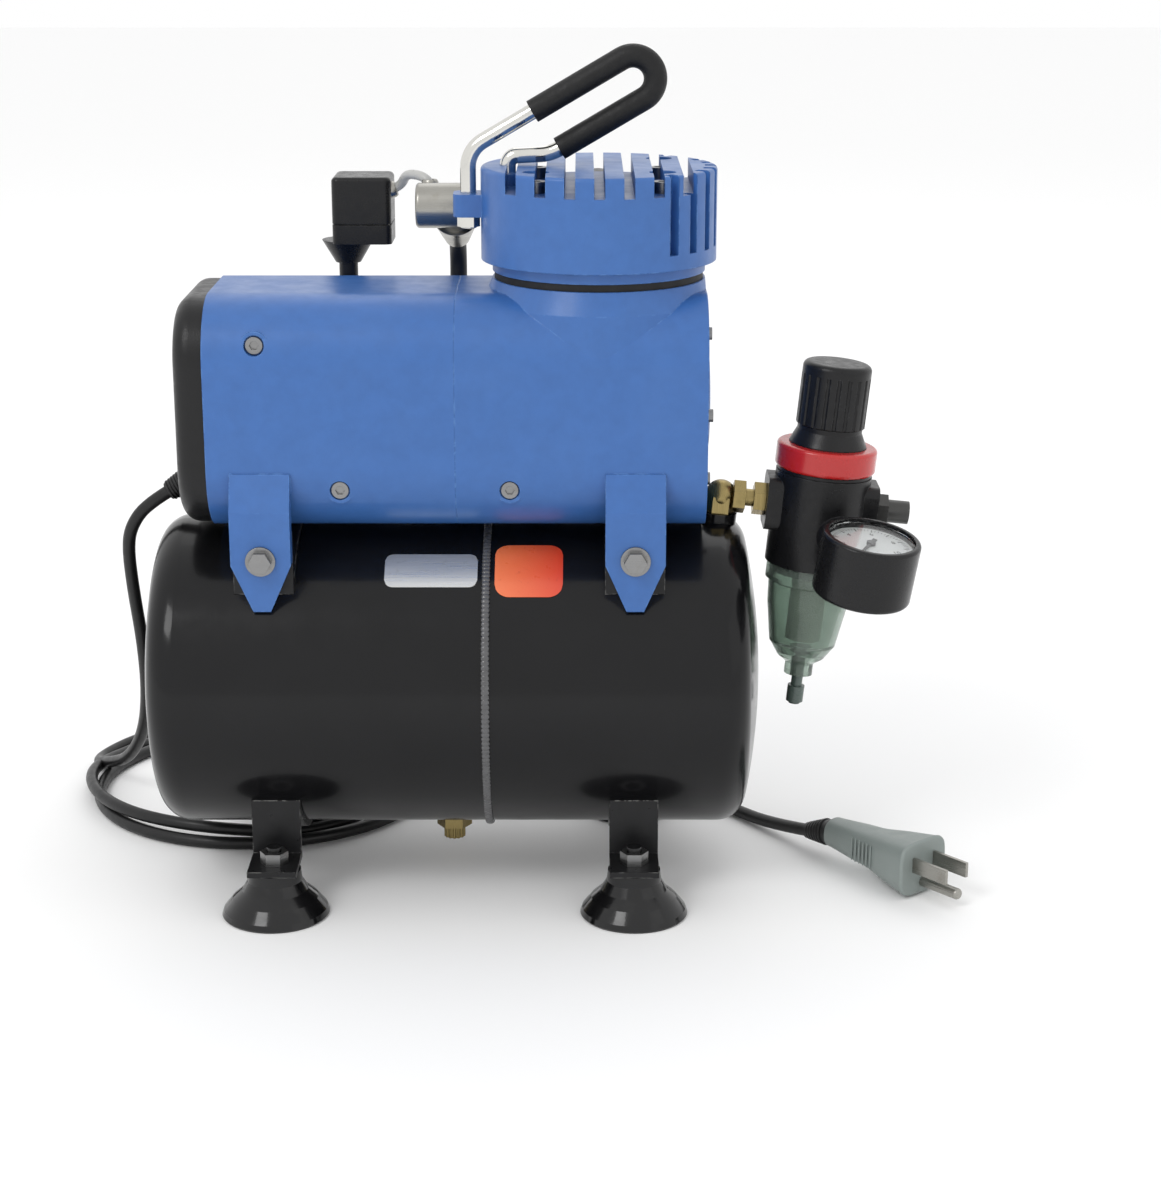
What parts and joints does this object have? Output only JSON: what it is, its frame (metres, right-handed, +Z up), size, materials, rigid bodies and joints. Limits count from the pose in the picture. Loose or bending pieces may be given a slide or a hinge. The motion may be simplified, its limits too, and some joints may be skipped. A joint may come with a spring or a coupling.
{
  "type": "airbrush compressor",
  "caption": "Small oil-less piston compressor on a horizontal air tank, with suction feet, a carrying handle, a filter regulator with gauge, and a mains cord.",
  "frame": {"origin": "on the floor under the middle of the air tank, midway between the front and back feet", "axes": "+X along the tank towards the regulator, +Y to the back, +Z up"},
  "size_m": [0.3972, 0.2637, 0.3456],
  "materials": {
    "tank_black": "gloss",
    "body_blue": "semi-gloss",
    "cap_black": "satin",
    "bracket_black": "semi-gloss",
    "foot_rubber": "glossy",
    "dark_rubber": "matt",
    "zinc_steel": "satin",
    "chromed_steel": "polished",
    "brass": "satin",
    "nickel_brass": "satin",
    "bare_aluminium": "satin",
    "core_steel": "satin",
    "copper_wire": "enamelled",
    "gasket": "matt",
    "switch_black": "satin",
    "knob_black": "satin",
    "ring_red": "gloss",
    "bowl_clear": "clear",
    "filter_white": "matt",
    "gauge_black": "semi-gloss",
    "needle_black": "matt",
    "cord_black": "matt",
    "plug_grey": "satin"
  },
  "bodies": {
    "frame": {"tank_shell_left": "tank_black", "tank_shell_right": "tank_black", "motor_saddles": "bracket_black", "foot_cradles": "bracket_black", "suction_feet": "foot_rubber", "steel_fasteners": "zinc_steel", "mount_bushes": "dark_rubber", "drain_valve_body": "brass", "safety_valve_body": "brass", "check_valve_body": "brass", "end_cap": "cap_black", "rocker_frame": "switch_black", "motor_cover": "body_blue", "stator_core": "core_steel", "windings": "copper_wire", "rear_bracket": "bare_aluminium", "shaft_bearings": "zinc_steel", "crankcase": "body_blue", "crankcase_cover": "body_blue", "cylinder_gasket": "gasket", "cylinder": "body_blue", "valve_plate": "core_steel", "cylinder_head": "body_blue", "intake_filter": "cap_black", "discharge_elbow": "nickel_brass", "discharge_tube": "dark_rubber", "switch_riser": "bracket_black", "pressure_switch": "switch_black", "handle_rod": "chromed_steel", "handle_grip": "dark_rubber", "outlet_elbow": "brass", "regulator_body": "knob_black", "regulator_bonnet": "knob_black", "regulator_ring": "ring_red", "filter_element": "filter_white", "gauge_case": "gauge_black", "outlet_fitting": "nickel_brass", "cord_gland": "cord_black", "cord_coil": "cord_black", "cord_drop": "cord_black", "cord_tail": "cord_black", "plug_relief": "cord_black", "plug_body": "plug_grey", "plug_pins": "nickel_brass"},
    "crank": {"motor_shaft": "core_steel", "rotor": "bare_aluminium", "cooling_fan": "cap_black", "eccentric": "core_steel"},
    "rod": {"connecting_rod": "bare_aluminium"},
    "piston": {"piston": "bare_aluminium"},
    "drain": {"drain_screw": "brass"},
    "relief": {"safety_valve_stem": "nickel_brass"},
    "poppet": {"check_valve_poppet": "dark_rubber"},
    "rocker": {"rocker_button": "switch_black"},
    "adjuster": {"adjusting_screw": "brass"},
    "knob": {"regulator_knob": "knob_black"},
    "seat": {"spring_seat": "zinc_steel"},
    "bowl": {"filter_bowl": "bowl_clear"},
    "bowl_pin": {"bowl_drain": "knob_black"},
    "needle": {"gauge_needle": "needle_black"}
  },
  "joints": [
    {"name": "crank_turn", "type": "hinge", "parent": "frame", "child": "crank", "pos_m": [0.045, 0, 0.203], "axis": [1, 0, 0], "continuous": true},
    {"name": "rod_swing", "type": "hinge", "parent": "crank", "child": "rod", "pos_m": [0.0605, 0, 0.209], "axis": [1, 0, 0], "continuous": true},
    {"name": "piston_stroke", "type": "slide", "parent": "frame", "child": "piston", "axis": [0, 0, 1], "range_m": [-0.012, 0]},
    {"name": "rocker_tilt", "type": "hinge", "parent": "frame", "child": "rocker", "pos_m": [-0.107, 0.024, 0.17], "axis": [0, 0, 1], "range_deg": [0, 20]},
    {"name": "drain_turn", "type": "hinge", "parent": "frame", "child": "drain", "pos_m": [-0.0013, 0, 0.015], "axis": [0, 0, 1], "range_deg": [0, 360]},
    {"name": "relief_pull", "type": "slide", "parent": "frame", "child": "relief", "axis": [0, 0, 1], "range_m": [0, 0.003], "stiffness_N_per_m": 300, "springref_m": -0.002},
    {"name": "check_lift", "type": "slide", "parent": "frame", "child": "poppet", "axis": [0, 0, -1], "range_m": [0, 0.0022], "stiffness_N_per_m": 100, "springref_m": -0.002},
    {"name": "adjuster_turn", "type": "hinge", "parent": "frame", "child": "adjuster", "pos_m": [0.15558, 0, 0.18574], "axis": [0.0993, 0, 0.9951], "range_deg": [-720, 720]},
    {"name": "knob_pull", "type": "slide", "parent": "adjuster", "child": "knob", "axis": [0.0993, 0, 0.9951], "range_m": [0, 0.003]},
    {"name": "seat_travel", "type": "slide", "parent": "frame", "child": "seat", "axis": [0.0993, 0, 0.9951], "range_m": [-0.0031, 0.0031]},
    {"name": "bowl_turn", "type": "hinge", "parent": "frame", "child": "bowl", "pos_m": [0.14862, 0, 0.11609], "axis": [0.0993, 0, 0.9951], "range_deg": [0, 540]},
    {"name": "drain_push", "type": "slide", "parent": "bowl", "child": "bowl_pin", "axis": [0.0993, 0, 0.9951], "range_m": [0, 0.0015], "stiffness_N_per_m": 100, "springref_m": -0.002},
    {"name": "needle_swing", "type": "hinge", "parent": "frame", "child": "needle", "pos_m": [0.16972, -0.04547, 0.1563], "axis": [-0.1469, 0.1304, -0.9805], "range_deg": [0, 270], "stiffness_Nm_per_rad": 0.0004}
  ],
  "couplings": [
    {"joint": "rod_swing", "follows": "crank_turn", "ratio": -1},
    {"joint": "seat_travel", "follows": "adjuster_turn", "m_per_rad": -0.00023873}
  ]
}
